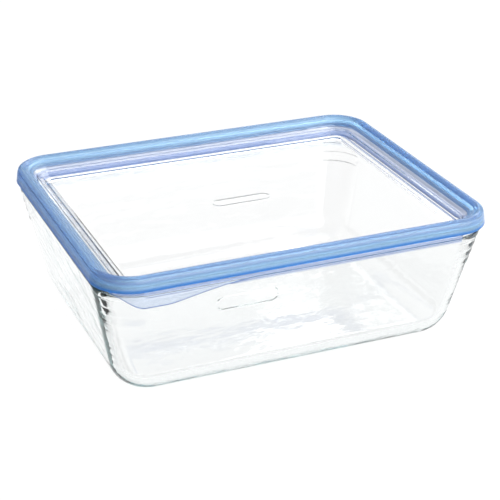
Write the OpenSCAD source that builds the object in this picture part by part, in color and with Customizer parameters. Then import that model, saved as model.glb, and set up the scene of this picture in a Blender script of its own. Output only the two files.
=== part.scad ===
// Rectangular glass storage container with a press-down lid.
// Origin: centre of the flat foot, on the surface it stands on. +Z is up, +X runs
// along the long side, and the pull tab of the lid is on the -Y side.
// Every outline is measured from one nominal rectangle, the outer edge of the lid:
// an inset is a distance inwards from that rectangle.

/* [Overall] */
// Width of the lid, along X
lid_w = 280; // [240:1:320]
// Depth of the lid, along Y
lid_d = 220.8; // [190:0.2:260]
// Corner radius of the lid
lid_corner_r = 27.8; // [27:0.1:34]

/* [Dish] */
// Height of the ledge where the outer wall ends, under the lid
ledge_z = 84.5; // [60:0.5:110]
// Height of the sealing bead above the ledge, up to the top of the glass
bead_h = 6.7; // [6:0.1:7]
// Inset of the outer wall at the ledge
ledge_inset = 1.85; // [1.8:0.05:2.4]
// Inward lean of the wall for each millimetre downwards
wall_draft = 0.21; // [0.1:0.01:0.25]
// Horizontal thickness of the wall
wall_t = 5.6; // [5.4:0.1:6.5]
// Thickness of the base
base_t = 6; // [4:0.5:8]
// Corner radius of the outer wall at the ledge
ledge_corner_r = 29.3; // [27:0.1:34]
// Corner radius that the outer wall would have at the foot
foot_corner_r = 23; // [22:0.5:27]
// Radius of the curve between the outer wall and the foot
foot_curve_r = 26; // [16:0.5:26]
// Radius of the curve between the inner wall and the floor
floor_curve_r = 19; // [12:0.5:20]

/* [Corner grips] */
// Number of grip steps on each vertical corner
grip_count = 4; // [2:1:6]
// Height of one grip step
grip_pitch = 6.7; // [5:0.1:8]
// How far a grip step stands out at its lower edge
grip_out = 0.8; // [0.3:0.1:1.2]
// Height of the lower edge of the top grip step
grip_top_z = 79.8; // [60:0.1:80]

/* [Lid] */
// Height of the lower edge of the soft rim
rim_low_z = 88.2; // [88:0.1:89]
// Height of the crest of the soft rim, which is the top of the container
crest_z = 97.9; // [97:0.1:100]
// Height of the recessed floor of the clear panel
floor_z = 85; // [84:0.1:86]
// Thickness of the clear panel
panel_t = 2.1; // [1.6:0.1:2.4]
// Length of the oval mark on the panel
mark_l = 44; // [20:1:60]
// Width of the oval mark on the panel
mark_w = 10.8; // [8:0.2:20]
// Y position of the middle of the oval mark
mark_y = 5; // [-20:0.5:20]

/* [Pull tab] */
// Thickness of the pull tab
tab_t = 1; // [0.6:0.1:1.2]
// Height of the lowest point of the pull tab
tab_low_z = 76.8; // [70:0.1:80]
// X position of the middle of the pull tab
tab_x = -104.5; // [-106:0.5:60]
// Height of the edge of the front flap beside the tab
flap_z = 85.6; // [84.5:0.1:87]
// Height of the lower edge of the lip behind the front flap
lip_z = 83.5; // [83:0.1:85]
// X position where the front flap and its lip end, on the right
flap_end_x = 111; // [60:1:112]

/* [Hidden] */
$fn = 128;
half_w = lid_w / 2;
half_d = lid_d / 2;
corner_steps = 8;     // flats round each corner of the dish
curve_steps = 7;      // rings on each fillet of the dish
draft_len = sqrt(1 + wall_draft * wall_draft);
glass_top_z = ledge_z + bead_h;

// ---- glass dish: rings of rounded rectangles, from the foot over the rim to the floor ----

// Inset of the straight outer wall, and of the inner wall, at a height
function outer_inset(z) = ledge_inset + (ledge_z - z) * wall_draft;
function inner_inset(z) = outer_inset(z) + wall_t;

// Corner radius of an outline on the outer side of the wall, concentric with the wall there
function outer_r(inset, z) =
    let (wall_r = foot_corner_r + (ledge_corner_r - foot_corner_r) * z / ledge_z)
    max(2, wall_r - (inset - outer_inset(z)));

// Corner radius of an outline in the groove and on the bead, concentric with the lid
function lid_r(inset, wider) = lid_corner_r - inset + wider;

// Corner radius of an outline on the inner side: concentric with the lid at the top of the glass
function inner_r(inset, z) =
    let (foot_r = foot_corner_r - wall_t)
    let (top_r = lid_r(inner_inset(glass_top_z), 0))
    max(2, foot_r + (top_r - foot_r) * z / glass_top_z - (inset - inner_inset(z)));

// Points [inset, z] of a curve of radius r that runs from a wall to a level plane at z0
function curve_to_plane(wall_at_plane, r, z0) =
    let (centre = wall_at_plane + r * (draft_len - wall_draft))
    let (wall_angle = atan(wall_draft))
    [for (i = [0 : curve_steps])
        let (a = wall_angle + (90 - wall_angle) * i / curve_steps)
        [centre - r * cos(a), z0 + r * (1 - sin(a))]];

// The same points from the plane up to the wall
function reversed(points) = [for (i = [len(points) - 1 : -1 : 0]) points[i]];

// Outer wall with the grip steps: [inset, z, how far the corners stand out]
grip_edge = 0.3;
grip_points = [for (i = [grip_count - 1 : -1 : 0])
    let (low = grip_top_z - i * grip_pitch)
    let (high = min(low + grip_pitch, ledge_z - 1) - grip_edge)
    each [[outer_inset(low - grip_edge), low - grip_edge, 0],
          [outer_inset(low + grip_edge), low + grip_edge, grip_out],
          [outer_inset(high - grip_edge), high - grip_edge, grip_out / 5]]];

// Rounded edge of the ledge: [inset, z]
ledge_points = [
    [outer_inset(ledge_z - 1.2), ledge_z - 1.2],
    [ledge_inset + 0.2, ledge_z - 0.4],
    [ledge_inset + 0.6, ledge_z]];

// Groove above the ledge: [inset, z]
groove_points = [
    [ledge_inset + 1.3, ledge_z + 0.2],
    [ledge_inset + 1.4, ledge_z + 1.8]];

// Sealing bead and rounded top of the glass, going up and over: [inset, z]
bead_points = [
    [ledge_inset + 0.8, ledge_z + 3.2],
    [ledge_inset + 0.4, ledge_z + 4.5],
    [ledge_inset + 0.7, ledge_z + 5.6],
    [ledge_inset + 1.5, glass_top_z - 0.25],
    [ledge_inset + 2.5, glass_top_z],
    [ledge_inset + 3.5, glass_top_z - 0.35],
    [ledge_inset + 4.1, glass_top_z - 1.1]];

// Curve between the foot and the outer wall, going up: [inset, z]
foot_points = reversed(curve_to_plane(outer_inset(0), foot_curve_r, 0));

// Inner wall and its curve down to the floor: [inset, z]
inner_points = concat(
    [[inner_inset(ledge_z + 3), ledge_z + 3]],
    curve_to_plane(inner_inset(base_t), floor_curve_r, base_t));

// Every ring of the dish: [inset, z, corner radius, how far the corners stand out]
groove_wider = 2;
dish_path = concat(
    [for (p = foot_points) [p[0], p[1], outer_r(p[0], p[1]), 0]],
    [for (p = grip_points) [p[0], p[1], outer_r(p[0], p[1]), p[2]]],
    [for (p = ledge_points) [p[0], p[1], outer_r(p[0], p[1]), 0]],
    [for (p = groove_points) [p[0], p[1], lid_r(p[0], groove_wider), 0]],
    [for (p = bead_points) [p[0], p[1], lid_r(p[0], 0), 0]],
    [for (p = inner_points) [p[0], p[1], inner_r(p[0], p[1]), 0]]);

// How much of a grip step shows at an angle round a corner: none where the flat walls begin
function grip_fade(a) = min(1, 1.7 * sin(2 * a));

// One ring of points round the dish
function ring(inset, z, r, out) =
    let (cx = half_w - inset - r)
    let (cy = half_d - inset - r)
    [for (corner = [0 : 3], i = [0 : corner_steps])
        let (a = 90 * i / corner_steps)
        let (turn = a + 90 * corner)
        let (side_x = (corner == 0 || corner == 3) ? 1 : -1)
        let (side_y = corner < 2 ? 1 : -1)
        let (reach = r + out * grip_fade(a))
        [side_x * cx + reach * cos(turn), side_y * cy + reach * sin(turn), z]];

// A closed skin through a list of rings, capped at both ends
module ring_skin(path) {
    n = 4 * (corner_steps + 1);
    last = (len(path) - 1) * n;
    points = [for (p = path) each ring(p[0], p[1], p[2], p[3])];
    sides = [for (k = [0 : len(path) - 2], i = [0 : n - 1])
        let (j = (i + 1) % n)
        [k * n + i, (k + 1) * n + i, (k + 1) * n + j, k * n + j]];
    caps = [[for (i = [0 : n - 1]) i], [for (i = [n - 1 : -1 : 0]) last + i]];
    polyhedron(points, concat(sides, caps));
}

module glass_dish() {
    color([0.86, 0.93, 0.93, 0.45])
        ring_skin(dish_path);
}

// ---- lid: sections of [inset, z] points, carried round the nominal rectangle ----

// A section swept round the four sides and four corners of the lid
module around_lid(section) {
    outline = [for (p = section) [lid_corner_r - p[0], p[1]]];
    run_x = lid_w - 2 * lid_corner_r;
    run_y = lid_d - 2 * lid_corner_r;
    for (side = [0 : 3]) {
        run = side % 2 == 0 ? run_x : run_y;
        reach = side % 2 == 0 ? run_y / 2 : run_x / 2;
        rotate(90 * side) {
            translate([-run / 2, reach, 0])
                rotate([90, 0, 90])
                    linear_extrude(run)
                        polygon(outline);
            translate([run / 2, reach, 0])
                rotate_extrude(angle = 90)
                    polygon(outline);
        }
    }
}

// Clear panel: embedded flange, steep slope, shallow slope and the edge of the floor
flange_inset = 5.2;
flange_z = 94.6;
slope_top = [12.2, 92.4];
slope_foot = [18.7, 87.5];
floor_edge = 26;
panel_section = [
    [flange_inset, flange_z],
    [9.2, flange_z],
    slope_top,
    slope_foot,
    [floor_edge, floor_z],
    [lid_corner_r, floor_z],
    [lid_corner_r, floor_z - panel_t],
    [floor_edge - 0.7, floor_z - panel_t],
    [slope_foot[0] - 1, slope_foot[1] - panel_t + 0.2],
    [10.9, 90.6],
    [9.6, flange_z - 2],
    [flange_inset, flange_z - 2]];

// Flat outline with round ends, longest along X
module round_end_slot(length, width, height) {
    linear_extrude(height) {
        square([length - width, width], center = true);
        for (side = [-1, 1])
            translate([side * (length - width) / 2, 0])
                circle(d = width);
    }
}

mark_h = 0.4;
mark_line = 1.2;

module lid_panel() {
    color([0.93, 0.96, 0.98, 0.4]) {
        around_lid(panel_section);
        translate([lid_corner_r - half_w, lid_corner_r - half_d, floor_z - panel_t])
            cube([lid_w - 2 * lid_corner_r, lid_d - 2 * lid_corner_r, panel_t]);
        // plain oval mark: a thin raised line round the middle of the panel
        translate([0, mark_y, floor_z])
            difference() {
                round_end_slot(mark_l, mark_w, mark_h);
                translate([0, 0, -1])
                    round_end_slot(mark_l - 2 * mark_line, mark_w - 2 * mark_line, mark_h + 2);
            }
    }
}

// Soft rim: outer wall, crest, inner slope, inner edge on the panel, and the deep seal lip that
// reaches down inside the glass, with the channel over the top of the glass beside it
wall_in = 1.8;
seal_low_z = 81.2;
channel_z = 91.6;
rim_section = [
    [0.5, rim_low_z],
    [0, rim_low_z + 0.6],
    [0.9, 93.6],
    [1.5, 95.6],
    [2.1, crest_z - 1.2],
    [3.1, crest_z - 0.3],
    [4.4, crest_z],
    [5.7, crest_z - 0.6],
    [7.8, 95.8],
    slope_top,
    [9.2, flange_z],
    [flange_inset, flange_z],
    [flange_inset, flange_z - 2],
    [9.6, flange_z - 2],
    [10.9, 90.6],
    [9.9, 89.6],
    [11.4, seal_low_z + 1.2],
    [11.2, seal_low_z + 0.4],
    [10.6, seal_low_z],
    [9.9, seal_low_z + 0.3],
    [9.5, seal_low_z + 1.4],
    [7.5, 90.4],
    [6.7, channel_z],
    [3, channel_z],
    [wall_in, 90.6],
    [wall_in, rim_low_z]];

// Sections of the front flap and of the lip behind it. Both start inside the rim.
sheet_inset = 0.1;
lip_in = 1.5;
root_z = rim_low_z + 1;
flap_cut_z = rim_low_z + 0.6;
sheet_section = [
    [sheet_inset, root_z],
    [sheet_inset, tab_low_z - 1],
    [sheet_inset + tab_t, tab_low_z - 1],
    [sheet_inset + tab_t, root_z]];
lip_section = [
    [sheet_inset + tab_t / 2, root_z],
    [sheet_inset + tab_t / 2, lip_z + 0.3],
    [0.9, lip_z],
    [1.3, lip_z],
    [lip_in, lip_z + 0.3],
    [lip_in, root_z]];

// Lower edge of the front flap and tab, as seen from the front: a smooth lobe on a straight edge
tab_rise_l = 24;      // width of the steep end of the lobe, at the corner
tab_rise_r = 62;      // width of the gentle end of the lobe
tab_flat = 7.5;       // half width of the straight bottom of the lobe
lobe_steps = 14;
gentle = 0.7;         // below 1, the gentle end rises early and then levels out
function smooth(t) = t * t * (3 - 2 * t);
lobe_start_x = tab_x - tab_flat - tab_rise_l;
lip_start_x = tab_x + tab_flat + tab_rise_r / 2;
lobe_left = [for (i = [0 : lobe_steps])
    [tab_x - tab_flat - tab_rise_l * i / lobe_steps,
     tab_low_z + (rim_low_z - tab_low_z) * smooth(i / lobe_steps)]];
lobe_right = [for (i = [lobe_steps : -1 : 0])
    [tab_x + tab_flat + tab_rise_r * i / lobe_steps,
     tab_low_z + (flap_z - tab_low_z) * smooth(pow(i / lobe_steps, gentle))]];

// Everything in front of the middle of the lid whose front view lies inside an outline
module front_view(outline) {
    translate([0, -half_d + lid_corner_r, 0])
        rotate([90, 0, 0])
            linear_extrude(lid_corner_r + 1)
                polygon(outline);
}

module front_flap() {
    intersection() {
        around_lid(sheet_section);
        front_view(concat(
            [[flap_end_x, flap_cut_z], [flap_end_x, flap_z]],
            lobe_right,
            lobe_left,
            [[lobe_start_x, flap_cut_z]]));
    }
    intersection() {
        around_lid(lip_section);
        front_view([
            [lip_start_x, flap_cut_z],
            [lip_start_x, lip_z - 1],
            [flap_end_x, lip_z - 1],
            [flap_end_x, flap_cut_z]]);
    }
}

module lid_rim() {
    color([0.36, 0.56, 0.86, 0.9]) {
        around_lid(rim_section);
        front_flap();
    }
}

glass_dish();
lid_panel();
lid_rim();
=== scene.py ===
"""Looks of the glass storage container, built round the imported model.

Sizes of the container are written in millimetres, and everything is built in metres.
"""

import math

import bmesh
import bpy
import numpy as np
from mathutils import Matrix, Vector


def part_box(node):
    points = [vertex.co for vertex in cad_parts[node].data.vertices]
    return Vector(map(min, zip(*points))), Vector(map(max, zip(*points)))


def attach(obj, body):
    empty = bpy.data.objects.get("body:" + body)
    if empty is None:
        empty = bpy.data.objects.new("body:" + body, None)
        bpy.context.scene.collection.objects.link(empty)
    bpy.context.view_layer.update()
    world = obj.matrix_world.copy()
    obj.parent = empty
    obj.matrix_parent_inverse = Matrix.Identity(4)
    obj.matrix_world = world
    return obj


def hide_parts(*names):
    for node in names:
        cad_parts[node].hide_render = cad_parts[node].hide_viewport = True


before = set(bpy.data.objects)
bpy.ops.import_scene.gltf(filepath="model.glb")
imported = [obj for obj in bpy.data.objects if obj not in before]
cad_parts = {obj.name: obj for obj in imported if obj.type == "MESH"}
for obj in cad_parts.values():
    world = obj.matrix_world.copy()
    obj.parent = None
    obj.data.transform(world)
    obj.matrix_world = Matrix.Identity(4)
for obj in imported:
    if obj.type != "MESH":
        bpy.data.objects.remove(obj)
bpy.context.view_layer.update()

MM = 0.001

# ---- main sizes, from the frame ----

RIM_LOW, RIM_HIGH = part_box("lid_rim")
_, DISH_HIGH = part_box("glass_dish")
PANEL_LOW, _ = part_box("lid_panel")
HALF_W = RIM_HIGH.x / MM                 # the nominal rectangle is the outer edge of the lid
HALF_D = RIM_HIGH.y / MM
CREST_Z = RIM_HIGH.z / MM
GLASS_TOP_Z = DISH_HIGH.z / MM
TAB_LOW_Z = RIM_LOW.z / MM
PANEL_LOW_Z = PANEL_LOW.z / MM

# ---- sizes that the frame doesn't give, in millimetres ----
# An inset is how far a place lies inside the nominal rectangle.

LID_CORNER_R = 27.8
PANEL_T = 2.1
PANEL_FLOOR_Z = PANEL_LOW_Z + PANEL_T    # recessed floor of the clear panel
RIM_LOW_Z = 87.7                         # lower edge of the soft rim
LIP_TOP_Z = 91.0                         # top of the seal lip, inside the dish
LIP_LOW_Z = 81.0
LIP_INSET = 7.0                          # the seal lip lies further in than this

LEDGE_Z = GLASS_TOP_Z - 6.7              # ledge in the glass, under the lid
LEDGE_INSET = 1.85
LEDGE_CORNER_R = 29.3
WALL_DRAFT = 0.21                        # how far the wall leans in for each unit of depth
WALL_T = 5.6
BASE_T = 6.0
BASE_INSET = 60.0                        # the base is flat from here inwards
FOOT_CORNER_R = 23.0
FOOT_CURVE_R = 26.0
BASE_CURVE_R = 19.0                      # from the inner wall to the base
MIN_CORNER_R = 2.0

GROOVE_INSET = LEDGE_INSET + 1.4         # groove above the ledge
GROOVE_WIDER = 2.0                       # it is more rounded at the corners than the lid
GROOVE_END_Z = LEDGE_Z + 1.8             # from here up, that fades out
GROOVE_FADE = 2.0

GRIP_COUNT = 4
GRIP_PITCH = 6.7
GRIP_TOP_Z = 79.8                        # lower edge of the highest step
GRIP_LOW_Z = GRIP_TOP_Z - (GRIP_COUNT - 1) * GRIP_PITCH
GRIP_END_Z = LEDGE_Z - 0.9
GRIP_OUT = 0.65
GRIP_RISE = 0.1                          # share of a step that its lower edge takes
GRIP_FALL = 0.85                         # share of its height that a step loses upwards
GRIP_SIDE_DEG = 1.0                      # flat end of a step at its top, round the corner
GRIP_TAPER_DEG = 7.0                     # how much more is flat at its lower edge
GRIP_FADE_DEG = 4.0

MARK_LENGTH = 44.0
MARK_LINE = 1.3
MARK_HEIGHT = 0.35
WALL_MARK_X = -42.0
WALL_MARK_Z = 67.5
WALL_MARK_WIDTH = 11.0
LID_MARK_Y = 5.0
LID_MARK_WIDTH = 10.8

TAB_X = -104.5                           # middle of the pull tab
TAB_FLAT = 7.5                           # half of its straight lower edge
TAB_RISE_L = 24.0
TAB_RISE_R = 62.0
TAB_RISE_POWER = 0.7                     # below 1, the long rise starts steeper
TAB_BEAD = 0.6                           # thicker line along the lower edge
BEAD_INSET = 0.5
FLAP_Z = 84.9                            # lower edge of the flap beside the tab
FLAP_START_X = TAB_X - TAB_FLAT - TAB_RISE_L + 3
FLAP_END_X = 111.0
FLAP_STEPS = 160
FLAP_INSET = 2.0                         # the flap lies further out than this
SHEET_Z = 82.6                           # lower edge of the thin sheet behind the flap
SHEET_RISE = 6.0                         # it is hidden this far up before it starts
SHEET_FADE = 12.0
SHEET_START_X = TAB_X + TAB_FLAT + TAB_RISE_R / 2

# ---- curves and skins ----

ARC_STEP_DEG = 7.5                       # step along the rounded corners of a section
ARC_MIN_STEPS = 3
MAX_REACH = 0.499                        # share of a straight piece that one rounded corner may take
STRAIGHT = 1e-3                          # a corner that turns less than this stays as it is
OVAL_STEPS = 24                          # steps round each end of an oval mark
SHARP_DEG = 35
SIDE_X = (1, -1, -1, 1)                  # sides of the four corners, counted from +X +Y
SIDE_Y = (1, 1, -1, -1)


def smooth(t):
    """Soft step from 0 to 1 while t goes from 0 to 1."""
    t = max(0.0, min(1.0, t))
    return t * t * (3 - 2 * t)


def rounded(corners, closed=False):
    """Points of an outline whose corners (inset, z, radius) are rounded with arcs."""
    points = []
    count = len(corners)
    for k, (x, z, radius) in enumerate(corners):
        here = np.array([x, z], float)
        if not closed and k in (0, count - 1):
            points.append(here)
            continue
        before = np.array(corners[k - 1][:2], float)
        after = np.array(corners[(k + 1) % count][:2], float)
        to_before, to_after = before - here, after - here
        len_before, len_after = np.linalg.norm(to_before), np.linalg.norm(to_after)
        to_before, to_after = to_before / len_before, to_after / len_after
        half = math.acos(max(-1.0, min(1.0, float(to_before @ to_after)))) / 2
        turn = math.pi - 2 * half
        if radius <= 0 or turn < STRAIGHT:
            points.append(here)
            continue
        reach = min(radius / math.tan(half), MAX_REACH * len_before, MAX_REACH * len_after)
        radius = reach * math.tan(half)
        bisector = (to_before + to_after) / np.linalg.norm(to_before + to_after)
        centre = here + bisector * radius / math.sin(half)
        start = here + to_before * reach - centre
        side = 1 if to_before[0] * to_after[1] - to_before[1] * to_after[0] < 0 else -1
        steps = max(ARC_MIN_STEPS, math.ceil(math.degrees(turn) / ARC_STEP_DEG))
        for i in range(steps + 1):
            a = side * turn * i / steps
            c, s = math.cos(a), math.sin(a)
            turned = [c * start[0] - s * start[1], s * start[0] + c * start[1]]
            points.append(centre + np.array(turned))
    return points


def stations(arc_steps, side_steps):
    """Places round a rounded rectangle: (corner number, angle round it, share of the side after it)."""
    places = []
    for corner in range(4):
        places += [(corner, 90.0 * i / arc_steps, 0.0) for i in range(arc_steps + 1)]
        places += [(corner, 90.0, i / side_steps) for i in range(1, side_steps)]
    return places


def place_on(corner, angle, share, inset, radius, out=0.0):
    """Point and outward direction on a rounded rectangle that lies inset from the nominal one."""
    def arc_point(number, degrees):
        turn = math.radians(degrees + 90 * number)
        cx = SIDE_X[number] * (HALF_W - inset - radius)
        cy = SIDE_Y[number] * (HALF_D - inset - radius)
        reach = radius + out
        return np.array([cx + reach * math.cos(turn), cy + reach * math.sin(turn)])
    point = arc_point(corner, angle)
    if share > 0:
        point = point * (1 - share) + arc_point((corner + 1) % 4, 0.0) * share
    turn = math.radians(angle + 90 * corner)
    return point, np.array([math.cos(turn), math.sin(turn)])


def skin(name, rings, around, radius_at, out_at=None, closed=False):
    """A mesh through rings [inset, z]. An open list is capped at both ends, a closed one is a tube.

    radius_at(inset, z) gives the corner radius, and out_at(z, angle, share) what stands out there.
    """
    count = len(around)
    grid = np.zeros((len(rings), count, 3))
    outward = np.zeros((count, 2))
    for k, (inset, z) in enumerate(rings):
        for i, (corner, angle, share) in enumerate(around):
            out = out_at(z, angle, share) if out_at else 0.0
            point, outward[i] = place_on(corner, angle, share, inset, radius_at(inset, z), out)
            grid[k, i] = (point[0], point[1], z)
    before, after = np.roll(grid, 1, 0), np.roll(grid, -1, 0)
    if not closed:
        before[0], after[-1] = grid[0], grid[-1]
    along = after - before
    round_it = np.stack([-outward[:, 1], outward[:, 0], np.zeros(count)], 1)
    normals = np.cross(round_it[None], along)
    normals /= np.maximum(np.linalg.norm(normals, axis=2, keepdims=True), 1e-9)
    faces = []
    last = len(rings) if closed else len(rings) - 1
    for k in range(last):
        low, high = k * count, (k + 1) % len(rings) * count
        for i in range(count):
            j = (i + 1) % count
            faces.append((low + i, low + j, high + j, high + i))
    if not closed:
        top = (len(rings) - 1) * count
        faces.append(tuple(range(count - 1, -1, -1)))
        faces.append(tuple(range(top, top + count)))
    return make_mesh(name, grid.reshape(-1, 3) * MM, faces, normals.reshape(-1, 3))


def make_mesh(name, points, faces, normals=None):
    """An object in the scene, with its faces turned outwards and shaded smooth."""
    mesh = bpy.data.meshes.new(name)
    mesh.from_pydata([tuple(p) for p in points], [], faces)
    mesh.validate()
    if len(faces) > 1:
        turned = bmesh.new()
        turned.from_mesh(mesh)
        bmesh.ops.recalc_face_normals(turned, faces=turned.faces)
        turned.to_mesh(mesh)
        turned.free()
    mesh.shade_smooth()
    if normals is not None:
        mesh.normals_split_custom_set_from_vertices([tuple(n) for n in normals])
    thing = bpy.data.objects.new(name, mesh)
    bpy.context.scene.collection.objects.link(thing)
    return thing


def apply_modifiers(thing):
    """Give the object the mesh that its modifiers make of it."""
    bpy.context.view_layer.update()
    finished = thing.evaluated_get(bpy.context.evaluated_depsgraph_get())
    thing.data = bpy.data.meshes.new_from_object(finished)
    thing.modifiers.clear()


def joined(base, other):
    """One closed mesh out of two closed pieces that overlap."""
    join = base.modifiers.new("join", "BOOLEAN")
    join.operation = "UNION"
    join.solver = "EXACT"
    join.object = other
    apply_modifiers(base)
    base.data.shade_smooth()
    base.data.set_sharp_from_angle(angle=math.radians(SHARP_DEG))
    even = base.modifiers.new("even", "WEIGHTED_NORMAL")
    even.keep_sharp = True
    even.weight = 100
    apply_modifiers(base)
    bpy.data.objects.remove(other)
    return base


def oval_ring(name, width, place_at):
    """A raised line round a plain oval. place_at(u, v, height) puts a point of it on a surface."""
    def edge(inset):
        r = width / 2 - inset
        run = (MARK_LENGTH - width) / 2
        ends = []
        for side in (1, -1):
            for i in range(OVAL_STEPS + 1):
                a = math.radians(-90 + 180 * i / OVAL_STEPS)
                ends.append((side * (run + r * math.cos(a)), side * r * math.sin(a)))
        return ends
    outer, inner = edge(0), edge(MARK_LINE)
    rings = [(outer, 0.0), (edge(MARK_LINE * 0.3), 1.0), (edge(MARK_LINE * 0.7), 1.0),
             (inner, 0.0), (inner, -1.0), (outer, -1.0)]
    points, faces = [], []
    for ring, height in rings:
        points += [[c * MM for c in place_at(u, v, height * MARK_HEIGHT)] for u, v in ring]
    count = len(outer)
    for k in range(len(rings)):
        for i in range(count):
            j = (i + 1) % count
            low, high = k * count, (k + 1) % len(rings) * count
            faces.append((low + i, low + j, high + j, high + i))
    return make_mesh(name, points, faces)


# ---- glass dish ----


def outer_inset(z):
    """Inset of the outer wall at a height."""
    return LEDGE_INSET + (LEDGE_Z - z) * WALL_DRAFT


def inner_inset(z):
    return outer_inset(z) + WALL_T


def dish_corner_r(inset, z):
    """Corner radius of the dish at a place on its section: outer wall, collar or inner wall."""
    if inset > outer_inset(z) + WALL_T / 2:
        foot_r = FOOT_CORNER_R - WALL_T
        top_r = LID_CORNER_R - inner_inset(GLASS_TOP_Z)
        wall_r = foot_r + (top_r - foot_r) * z / GLASS_TOP_Z
        return max(MIN_CORNER_R, wall_r - (inset - inner_inset(z)))
    if z <= LEDGE_Z:
        wall_r = FOOT_CORNER_R + (LEDGE_CORNER_R - FOOT_CORNER_R) * z / LEDGE_Z
        return max(MIN_CORNER_R, wall_r - (inset - outer_inset(z)))
    wider = GROOVE_WIDER * (1 - smooth((z - GROOVE_END_Z) / GROOVE_FADE))
    return LID_CORNER_R - inset + wider


def grip_out(z, angle, share):
    """How far a grip step stands out: a shingle, proud at its lower edge, only at the corners."""
    if share > 0 or z < GRIP_LOW_Z or z > GRIP_END_Z:
        return 0.0
    step = (z - GRIP_LOW_Z) / GRIP_PITCH
    t = step - math.floor(step)
    rise = smooth(t / GRIP_RISE)
    fall = 1 - GRIP_FALL * t
    edge = GRIP_TAPER_DEG * (1 - t) + GRIP_SIDE_DEG
    sides = smooth((min(angle, 90 - angle) - edge) / GRIP_FADE_DEG)
    return GRIP_OUT * rise * fall * sides


def grip_rings():
    """Places on the section of the outer wall that follow the grip steps."""
    rings = []
    for i in range(GRIP_COUNT):
        low = GRIP_LOW_Z + i * GRIP_PITCH
        high = min(low + GRIP_PITCH, LEDGE_Z - 1.0)
        for share in (-0.02, 0.0, 0.025, 0.05, 0.075, 0.1, 0.3, 0.6, 0.9):
            z = low + share * (high - low)
            rings.append((outer_inset(z), z, 0))
    return rings


def glass_dish():
    around = stations(arc_steps=48, side_steps=6)
    corners = [
        (BASE_INSET, 0.0, 0),
        (outer_inset(0), 0.0, FOOT_CURVE_R),
        *grip_rings(),
        (outer_inset(LEDGE_Z - 0.2), LEDGE_Z - 0.2, 0.9),
        (GROOVE_INSET, LEDGE_Z + 0.1, 0.4),
        (GROOVE_INSET, LEDGE_Z + 2.0, 0.6),
        (LEDGE_INSET + 0.4, LEDGE_Z + 4.2, 1.0),
        (LEDGE_INSET + 0.6, GLASS_TOP_Z, 2.0),
        (inner_inset(GLASS_TOP_Z) - 0.2, GLASS_TOP_Z, 1.8),
        (inner_inset(GLASS_TOP_Z - 3), GLASS_TOP_Z - 3, 3.0),
        (inner_inset(BASE_T), BASE_T, BASE_CURVE_R),
        (BASE_INSET, BASE_T, 0),
    ]
    dish = skin("dish_glass", rounded(corners), around, dish_corner_r, grip_out)
    dish = joined(dish, wall_mark())
    dish.data.materials.append(glass_material())
    return dish


def wall_mark():
    """Plain oval, raised on the front wall."""
    def on_wall(u, v, height):
        z = WALL_MARK_Z + v
        return (WALL_MARK_X + u, -(HALF_D - outer_inset(z) + height), z)
    return oval_ring("wall_mark", WALL_MARK_WIDTH, on_wall)


# ---- lid ----


def lid_corner_r(inset, z):
    """The same corners at every height."""
    return max(0.3, LID_CORNER_R - inset)


def lid_panel():
    """The recessed panel, its ridged slope and the flange that the rim holds."""
    around = stations(arc_steps=32, side_steps=4)
    corners = [
        (27.0, PANEL_LOW_Z, 0),
        (25.3, PANEL_LOW_Z, 2.0),
        (17.7, 85.6, 1.2),
        (10.9, 90.6, 1.0),
        (9.9, 91.9, 0.4),
        (9.9, 93.2, 0.4),
        (11.6, 92.85, 0.6),
        (12.4, 92.25, 0.6),
        (14.6, 90.6, 0.3),
        (15.3, 90.9, 0.3),
        (16.2, 90.3, 0.3),
        (16.5, 89.2, 0.3),
        (20.2, 86.3, 0.4),
        (21.2, 86.9, 0.3),
        (23.4, 86.4, 0.3),
        (24.0, 84.9, 0.4),
        (26.2, PANEL_FLOOR_Z, 1.2),
        (27.2, PANEL_FLOOR_Z, 0),
    ]
    panel = skin("panel_clear", rounded(corners), around, lid_corner_r)
    panel = joined(panel, lid_mark())
    panel.data.materials.append(panel_material())
    return panel


def lid_mark():
    """Plain oval, raised in the middle of the panel."""
    def on_floor(u, v, height):
        return (u, LID_MARK_Y + v, PANEL_FLOOR_Z + height)
    return oval_ring("lid_mark", LID_MARK_WIDTH, on_floor)


def inset_of(point):
    """How far inside the nominal outline a point lies."""
    x = max(0.0, abs(point.x) / MM - HALF_W + LID_CORNER_R)
    y = max(0.0, abs(point.y) / MM - HALF_D + LID_CORNER_R)
    return LID_CORNER_R - math.hypot(x, y)


def lid_rim():
    """The soft rim with its channel, its seal lip and the front flap."""
    around = stations(arc_steps=32, side_steps=4)
    corners = [
        (0.0, RIM_LOW_Z, 0.5),
        (0.9, 94.2, 3.0),
        (1.7, 96.6, 1.2),
        (4.4, CREST_Z + 0.35, 2.4),
        (7.1, 96.45, 0.3),
        (7.7, 95.45, 0.2),
        (8.4, 95.65, 0.3),
        (9.5, 94.9, 0.2),
        (9.9, 94.1, 0.2),
        (10.6, 94.2, 0.3),
        (12.2, 92.9, 0.5),
        (11.9, 91.9, 0.3),
        (10.6, 90.8, 0.5),
        (9.9, 89.6, 0.6),
        (11.5, 81.6, 0.8),
        (9.8, LIP_LOW_Z, 0.8),
        (7.5, 90.6, 0.6),
        (6.7, 91.6, 0.5),
        (3.0, 91.6, 0.6),
        (1.8, 90.6, 0.6),
        (1.8, RIM_LOW_Z, 0.4),
    ]
    rim = skin("rim_soft", rounded(corners, closed=True), around, lid_corner_r, closed=True)
    rim = joined(rim, front_flap())
    rim.data.materials.append(rim_material())
    rim.data.materials.append(thin_material())
    rim.data.materials.append(lip_material())
    for face in rim.data.polygons:
        face.material_index = plastic_of(face.center)
    return rim


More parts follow.
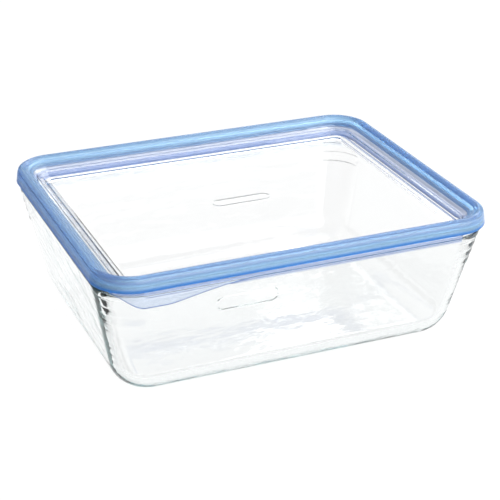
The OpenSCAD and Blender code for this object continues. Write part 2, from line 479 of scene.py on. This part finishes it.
def plastic_of(point):
    """Which of the rim's materials a place has: 0 thick, 1 thin, 2 seal lip."""
    inset, z = inset_of(point), point.z / MM
    if inset < FLAP_INSET and z < RIM_LOW_Z - 0.05:
        # The bead takes the thick plastic, and with it the deepest tone, which is the painted shade of
        # the rim's lower edge.
        on_bead = inset < BEAD_INSET and z < tab_edge(point.x / MM) + TAB_BEAD
        return 0 if on_bead else 1
    if inset > LIP_INSET and z < LIP_TOP_Z:
        return 2
    return 0


def tab_edge(x):
    """Height of the lower edge of the front flap at a place along X."""
    left = TAB_X - TAB_FLAT - x
    right = x - TAB_X - TAB_FLAT
    if left > 0:
        return TAB_LOW_Z + (RIM_LOW_Z - TAB_LOW_Z) * smooth(left / TAB_RISE_L)
    if right > 0:
        return TAB_LOW_Z + (FLAP_Z - TAB_LOW_Z) * smooth(min(1.0, right / TAB_RISE_R) ** TAB_RISE_POWER)
    return TAB_LOW_Z


def front_path(x_from, x_to, count):
    """Points (x, y of the nominal edge, outward direction) along the front of the lid."""
    centre_x, centre_y = HALF_W - LID_CORNER_R, HALF_D - LID_CORNER_R
    path = []
    for i in range(count + 1):
        x = x_from + (x_to - x_from) * i / count
        if x < -centre_x:
            off = x + centre_x
            down = math.sqrt(LID_CORNER_R ** 2 - off ** 2)
            out = np.array([off, -down]) / LID_CORNER_R
            path.append((x, -centre_y - down, out))
        else:
            path.append((x, -HALF_D, np.array([0.0, -1.0])))
    return path


def sheet_strip(name, path, section_at):
    """A closed strip along a path. section_at(x) always gives the same number of [inset, z] points."""
    points, faces = [], []
    count = len(section_at(path[0][0]))
    for x, y, out in path:
        for inset, z in section_at(x):
            points.append(((x - out[0] * inset) * MM, (y - out[1] * inset) * MM, z * MM))
    for k in range(len(path) - 1):
        for i in range(count):
            j = (i + 1) % count
            faces.append((k * count + i, k * count + j, (k + 1) * count + j, (k + 1) * count + i))
    last = (len(path) - 1) * count
    faces.append(tuple(range(count - 1, -1, -1)))
    faces.append(tuple(range(last, last + count)))
    return make_mesh(name, points, faces)


def front_flap():
    """Flap with its tab, and from the middle of the tab's long rise on the thin sheet behind it."""
    top = RIM_LOW_Z + 0.6

    def section(x):
        low = min(tab_edge(x), RIM_LOW_Z - 0.3)
        hidden = smooth((SHEET_START_X + SHEET_FADE - x) / SHEET_FADE)
        sheet = min(low - 0.3, SHEET_Z + SHEET_RISE * hidden)
        return [
            (0.30, top),
            (0.30, low + 0.9),
            (0.12, low + TAB_BEAD),
            (0.14, low + 0.1),
            (0.55, low - 0.05),
            (0.65, sheet + 0.15),
            (0.72, sheet + 0.04),
            (0.85, sheet),
            (0.98, sheet + 0.04),
            (1.10, sheet + 0.2),
            (1.15, top),
        ]
    return sheet_strip("front_flap", front_path(FLAP_START_X, FLAP_END_X, FLAP_STEPS), section)


# ---- materials ----

GLASS_IOR = 1.5
SOFT_PLASTIC_IOR = 1.4
GLASS_RIPPLE_SCALE = 30.0
PANEL_RIPPLE_SCALE = 60.0
PLASTIC_GRAIN_SCALE = 220.0

RIM_CLEAR = 0.73
RIM_GLOW = 0.075
# Painted glow: the colour and strength of the light that the plastic gives off of its own, in place of
# the light that it passes on inside itself.
RIM_GLOW_TONE = (0.0, 0.25, 1.0)      # light that the milky plastic passes on inside itself
# Painted shade: the deepest blue, along the lower edge. Painted highlight: the palest band, on the
# shoulder.
RIM_SHADE_AND_HIGHLIGHT_TONES = (
    (0.12, (0.09, 0.30, 0.62)),
    (0.28, (0.46, 0.64, 0.70)),
    (0.62, (0.46, 0.62, 0.69)),
    (0.76, (0.64, 0.82, 0.86)),
    (0.88, (0.44, 0.62, 0.74)),
)
LIP_CLEAR = 0.7
# Painted glow of the seal lip.
LIP_GLOW = 0.08
LIP_GLOW_TONE = (0.45, 0.6, 1.0)
# Painted shade: the deep blue along the lip's lower edge.
LIP_SHADE_TONES = (
    (0.0, (0.02, 0.08, 0.35)),
    (0.18, (0.03, 0.12, 0.42)),
    (0.26, (0.50, 0.62, 0.92)),
    (0.55, (0.58, 0.68, 0.94)),
    (0.65, (0.85, 0.89, 0.98)),
    (1.0, (0.88, 0.92, 0.99)),
)
THIN_CLEAR = 0.85


def new_material(name):
    material = bpy.data.materials.new(name)
    material.use_nodes = True
    tree = material.node_tree
    return material, tree, tree.nodes["Principled BSDF"], tree.nodes["Material Output"]


def new_see_through(name, clear, ior):
    """A material that lets the share `clear` of the light through."""
    material, tree, shader, output = new_material(name)
    shader.inputs["Transmission Weight"].default_value = clear
    shader.inputs["IOR"].default_value = ior
    return material, tree, shader, output


def add_grain(tree, shader, scale, roughness, bump=None, flat=1.0):
    """Noise that varies the roughness (low, high) and, with (strength, distance), the relief.

    flat > 1 draws the noise out sideways into level streaks.
    """
    place = tree.nodes.new("ShaderNodeTexCoord")
    squash = tree.nodes.new("ShaderNodeMapping")
    squash.inputs["Scale"].default_value = (1.0, 1.0, flat)
    tree.links.new(place.outputs["Object"], squash.inputs["Vector"])
    noise = tree.nodes.new("ShaderNodeTexNoise")
    noise.inputs["Scale"].default_value = scale
    noise.inputs["Detail"].default_value = 3.0
    tree.links.new(squash.outputs["Vector"], noise.inputs["Vector"])
    rough = add_span(tree, noise.outputs["Fac"], (0.0, 1.0), roughness)
    tree.links.new(rough, shader.inputs["Roughness"])
    if bump:
        relief = tree.nodes.new("ShaderNodeBump")
        relief.inputs["Strength"].default_value, relief.inputs["Distance"].default_value = bump
        tree.links.new(noise.outputs["Fac"], relief.inputs["Height"])
        tree.links.new(relief.outputs["Normal"], shader.inputs["Normal"])


def add_span(tree, value, source, target, soft=False):
    """The value carried from the range source to the range target, softly at both ends if asked."""
    span = tree.nodes.new("ShaderNodeMapRange")
    span.interpolation_type = "SMOOTHSTEP" if soft else "LINEAR"
    span.inputs["From Min"].default_value, span.inputs["From Max"].default_value = source
    span.inputs["To Min"].default_value, span.inputs["To Max"].default_value = target
    tree.links.new(value, span.inputs["Value"])
    return span.outputs["Result"]


def add_reach(tree, vector, direction):
    """How far a vector reaches along a direction."""
    reach = tree.nodes.new("ShaderNodeVectorMath")
    reach.operation = "DOT_PRODUCT"
    reach.inputs[1].default_value = direction
    tree.links.new(vector, reach.inputs[0])
    return reach.outputs["Value"]


def add_height(tree, vector):
    """The part of a vector along Z."""
    split = tree.nodes.new("ShaderNodeSeparateXYZ")
    tree.links.new(vector, split.inputs["Vector"])
    return split.outputs["Z"]


def add_product(tree, one, other):
    product = tree.nodes.new("ShaderNodeMath")
    product.operation = "MULTIPLY"
    tree.links.new(one, product.inputs[0])
    tree.links.new(other, product.inputs[1])
    return product.outputs["Value"]


def add_height_ramp(tree, shader, low_z, high_z, tones):
    """Colour that follows the height. tones = (share of the height, colour) from low to high."""
    place = tree.nodes.new("ShaderNodeTexCoord")
    height = add_height(tree, place.outputs["Object"])
    share = add_span(tree, height, (low_z * MM, high_z * MM), (0.0, 1.0))
    ramp = tree.nodes.new("ShaderNodeValToRGB")
    tree.links.new(share, ramp.inputs["Fac"])
    stops = ramp.color_ramp.elements
    stops[0].position, stops[0].color = tones[0][0], (*tones[0][1], 1)
    stops[1].position, stops[1].color = tones[-1][0], (*tones[-1][1], 1)
    for position, colour in tones[1:-1]:
        stop = stops.new(position)
        stop.color = (*colour, 1)
    tree.links.new(ramp.outputs["Color"], shader.inputs["Base Color"])


def add_painted_glow(shader, colour, strength):
    """Faint painted glow of milky plastic: light of its own, standing in for the light that it scatters
    inside.
    """
    shader.inputs["Emission Color"].default_value = (*colour, 1)
    shader.inputs["Emission Strength"].default_value = strength


def add_absorption(tree, output, colour, density):
    volume = tree.nodes.new("ShaderNodeVolumeAbsorption")
    volume.inputs["Color"].default_value = (*colour, 1)
    volume.inputs["Density"].default_value = density
    tree.links.new(volume.outputs["Volume"], output.inputs["Volume"])


def glass_material():
    """Clear pressed glass with level ripples and a trace of green."""
    material, tree, shader, output = new_see_through("pressed_glass", 1.0, GLASS_IOR)
    shader.inputs["Base Color"].default_value = (0.985, 0.98, 0.98, 1)
    add_grain(tree, shader, GLASS_RIPPLE_SCALE, (0.0, 0.02), bump=(0.5, 0.0006), flat=3.0)
    add_absorption(tree, output, (0.2, 0.55, 0.55), 6.0)
    return material


def panel_material():
    """Clear hard plastic."""
    material, tree, shader, _ = new_see_through("clear_plastic", 1.0, GLASS_IOR)
    shader.inputs["Base Color"].default_value = (0.99, 0.99, 0.99, 1)
    add_grain(tree, shader, PANEL_RIPPLE_SCALE, (0.01, 0.04), bump=(0.15, 0.0001))
    return material


def rim_material():
    """Milky blue plastic, with a faint painted glow, painted shade that makes it deepest along its
    lower edge and a painted highlight that makes it palest on the shoulder.
    """
    material, tree, shader, output = new_see_through("blue_soft_plastic", RIM_CLEAR, SOFT_PLASTIC_IOR)
    shader.inputs["Specular IOR Level"].default_value = 0.2
    add_painted_glow(shader, RIM_GLOW_TONE, RIM_GLOW)
    add_height_ramp(tree, shader, RIM_LOW_Z, CREST_Z, RIM_SHADE_AND_HIGHLIGHT_TONES)
    add_grain(tree, shader, PLASTIC_GRAIN_SCALE, (0.16, 0.3), bump=(0.1, 0.0001))
    add_absorption(tree, output, (0.14, 0.55, 0.9), 70.0)
    return material


def thin_material():
    """The same plastic where it is about a millimetre thick, so that it is nearly clear."""
    material, tree, shader, output = new_see_through("blue_soft_plastic_thin", THIN_CLEAR,
                                                     SOFT_PLASTIC_IOR)
    shader.inputs["Base Color"].default_value = (0.74, 0.80, 0.90, 1)
    add_grain(tree, shader, PLASTIC_GRAIN_SCALE, (0.03, 0.08), bump=(0.1, 0.0001))
    add_absorption(tree, output, (0.1, 0.4, 0.85), 60.0)
    return material


def lip_material():
    """The seal lip under the panel, with a faint painted glow: pale towards its top, with painted shade
    that makes it deeper along its lower edge.
    """
    material, tree, shader, output = new_see_through("blue_soft_plastic_lip", LIP_CLEAR,
                                                     SOFT_PLASTIC_IOR)
    add_painted_glow(shader, LIP_GLOW_TONE, LIP_GLOW)
    add_height_ramp(tree, shader, LIP_LOW_Z, LIP_TOP_Z, LIP_SHADE_TONES)
    add_grain(tree, shader, PLASTIC_GRAIN_SCALE, (0.1, 0.2))
    add_absorption(tree, output, (0.1, 0.4, 0.85), 15.0)
    return material


# ---- stage, light and camera, in metres ----

FLOOR_HALF = 12.0
FLOOR_DROP = -0.0004                     # just under the foot, so that the two don't coincide
# Painted shade: the floor's own glow is dimmer to the left of the dish, away from the bright side.
FLOOR_BRIGHT_WAY = (0.97, -0.25, 0.0)    # the floor is bright on this side of the dish
FLOOR_DARK_AT = -0.38                    # along that way it starts dark and is bright from
FLOOR_BRIGHT_AT = -0.176                 # here on
FLOOR_SHADE_SHARE = 0.35                         # share of the brightness on the dark side
FLOOR_WHITE = 0.06
FLOOR_GLOW = 0.98

BACKDROP_WAY = (0.45, 0.88, 0.0)         # direction of the bright backdrop
BACKDROP_EDGE = (-0.1, 0.35)             # along that way it goes from dark to bright between these
BACKDROP_DARK = 0.1
WALL_TOP = 0.65                          # the backdrop is bright up to this height of the direction
WALL_FADE = 0.2
CEILING_LEVEL = 0.2
HORIZON_Z = 0.25                         # and from this height on
HORIZON_FADE = 0.05
HORIZON_LEVEL = 0.15

LAMP_TARGET = (0, 0, 0.05)

VIEW_DEG = (-23.606, 25.563, 0.735)      # azimuth, elevation and roll
VIEW_DISTANCE = 1.0365
VIEW_TARGET = (0, 0, 0.040)
VIEW_SHIFT = (0.0046, 0.0071)            # the view's middle, to the right of and above the target
SENSOR_MM = 36.0
LENS_MM = 104.56


def floor_material():
    """Even white light of its own, so that hardly any shadow shows, with painted shade on one side,
    where that light is dimmer.
    """
    material, tree, shader, _ = new_material("floor_white")
    shader.inputs["Base Color"].default_value = (FLOOR_WHITE, FLOOR_WHITE, FLOOR_WHITE, 1)
    shader.inputs["Roughness"].default_value = 1.0
    shader.inputs["Specular IOR Level"].default_value = 0.0
    shader.inputs["Emission Color"].default_value = (1, 1, 1, 1)
    place = tree.nodes.new("ShaderNodeTexCoord")
    reach = add_reach(tree, place.outputs["Object"], FLOOR_BRIGHT_WAY)
    glow = add_span(tree, reach, (FLOOR_DARK_AT, FLOOR_BRIGHT_AT),
                    (FLOOR_GLOW * FLOOR_SHADE_SHARE, FLOOR_GLOW), soft=True)
    tree.links.new(glow, shader.inputs["Emission Strength"])
    return material


def stage():
    corners = [
        (-FLOOR_HALF, -FLOOR_HALF, FLOOR_DROP),
        (FLOOR_HALF, -FLOOR_HALF, FLOOR_DROP),
        (FLOOR_HALF, FLOOR_HALF, FLOOR_DROP),
        (-FLOOR_HALF, FLOOR_HALF, FLOOR_DROP),
    ]
    floor = make_mesh("floor", corners, [(0, 1, 2, 3)])
    floor.data.materials.append(floor_material())


def light():
    """A backdrop that is bright behind the dish and to its right, and two soft lamps."""
    world = bpy.data.worlds.new("studio")
    bpy.context.scene.world = world
    world.use_nodes = True
    tree = world.node_tree
    background = tree.nodes["Background"]
    direction = tree.nodes.new("ShaderNodeTexCoord").outputs["Generated"]
    reach = add_reach(tree, direction, BACKDROP_WAY)
    height = add_height(tree, direction)
    across = add_span(tree, reach, BACKDROP_EDGE, (BACKDROP_DARK, 1.0), soft=True)
    climb = add_span(tree, height, (WALL_TOP, WALL_TOP + WALL_FADE), (1.0, CEILING_LEVEL), soft=True)
    lift = add_span(tree, height, (HORIZON_Z - HORIZON_FADE, HORIZON_Z + HORIZON_FADE),
                    (HORIZON_LEVEL, 1.0), soft=True)
    level = add_product(tree, add_product(tree, across, climb), lift)
    tree.links.new(level, background.inputs["Color"])
    background.inputs["Strength"].default_value = 1.0
    add_lamp("top_softbox", (0.9, 0.8, 1.5), 1.5, 22.0)
    add_lamp("front_fill", (0.6, -1.5, 1.0), 2.2, 60.0)


def add_lamp(name, place, size, power):
    """Square soft lamp that faces the dish."""
    lamp = bpy.data.lights.new(name, "AREA")
    lamp.size = size
    lamp.energy = power
    thing = bpy.data.objects.new(name, lamp)
    bpy.context.scene.collection.objects.link(thing)
    thing.location = place
    thing.rotation_mode = "QUATERNION"
    thing.rotation_quaternion = (Vector(LAMP_TARGET) - Vector(place)).to_track_quat("-Z", "Y")


def camera():
    """Looks down on the dish from the front and a little from its left."""
    azimuth, elevation, roll = (math.radians(angle) for angle in VIEW_DEG)
    back = Vector((math.sin(azimuth) * math.cos(elevation),
                   -math.cos(azimuth) * math.cos(elevation), math.sin(elevation)))
    right = (-back).cross(Vector((0, 0, 1))).normalized()
    up = right.cross(-back)
    right, up = (right * math.cos(roll) + up * math.sin(roll),
                 up * math.cos(roll) - right * math.sin(roll))
    data = bpy.data.cameras.new("camera")
    data.sensor_width = SENSOR_MM
    data.lens = LENS_MM
    data.clip_start = 0.05
    data.clip_end = 50
    thing = bpy.data.objects.new("camera", data)
    bpy.context.scene.collection.objects.link(thing)
    turned = Matrix((right, up, back)).transposed().to_4x4()
    shift = right * VIEW_SHIFT[0] + up * VIEW_SHIFT[1]
    turned.translation = Vector(VIEW_TARGET) + shift + back * VIEW_DISTANCE
    thing.matrix_world = turned
    bpy.context.scene.camera = thing


# ---- assembly ----

LIGHT_BOUNCES = 32                       # light passes through many layers of glass


def put(piece, body, slot, *nodes):
    """Tie a piece to its body and hide the nodes that it stands for. The slot is not used."""
    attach(piece, body)
    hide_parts(*nodes)


camera()
stage()
light()
put(glass_dish(), "dish", "glass", "glass_dish")
put(lid_panel(), "lid", "clear_plastic", "lid_panel")
put(lid_rim(), "lid", "blue_soft_plastic", "lid_rim")

scene = bpy.context.scene
scene.view_settings.view_transform = "Standard"
scene.cycles.max_bounces = LIGHT_BOUNCES
scene.cycles.transmission_bounces = LIGHT_BOUNCES
scene.cycles.glossy_bounces = LIGHT_BOUNCES
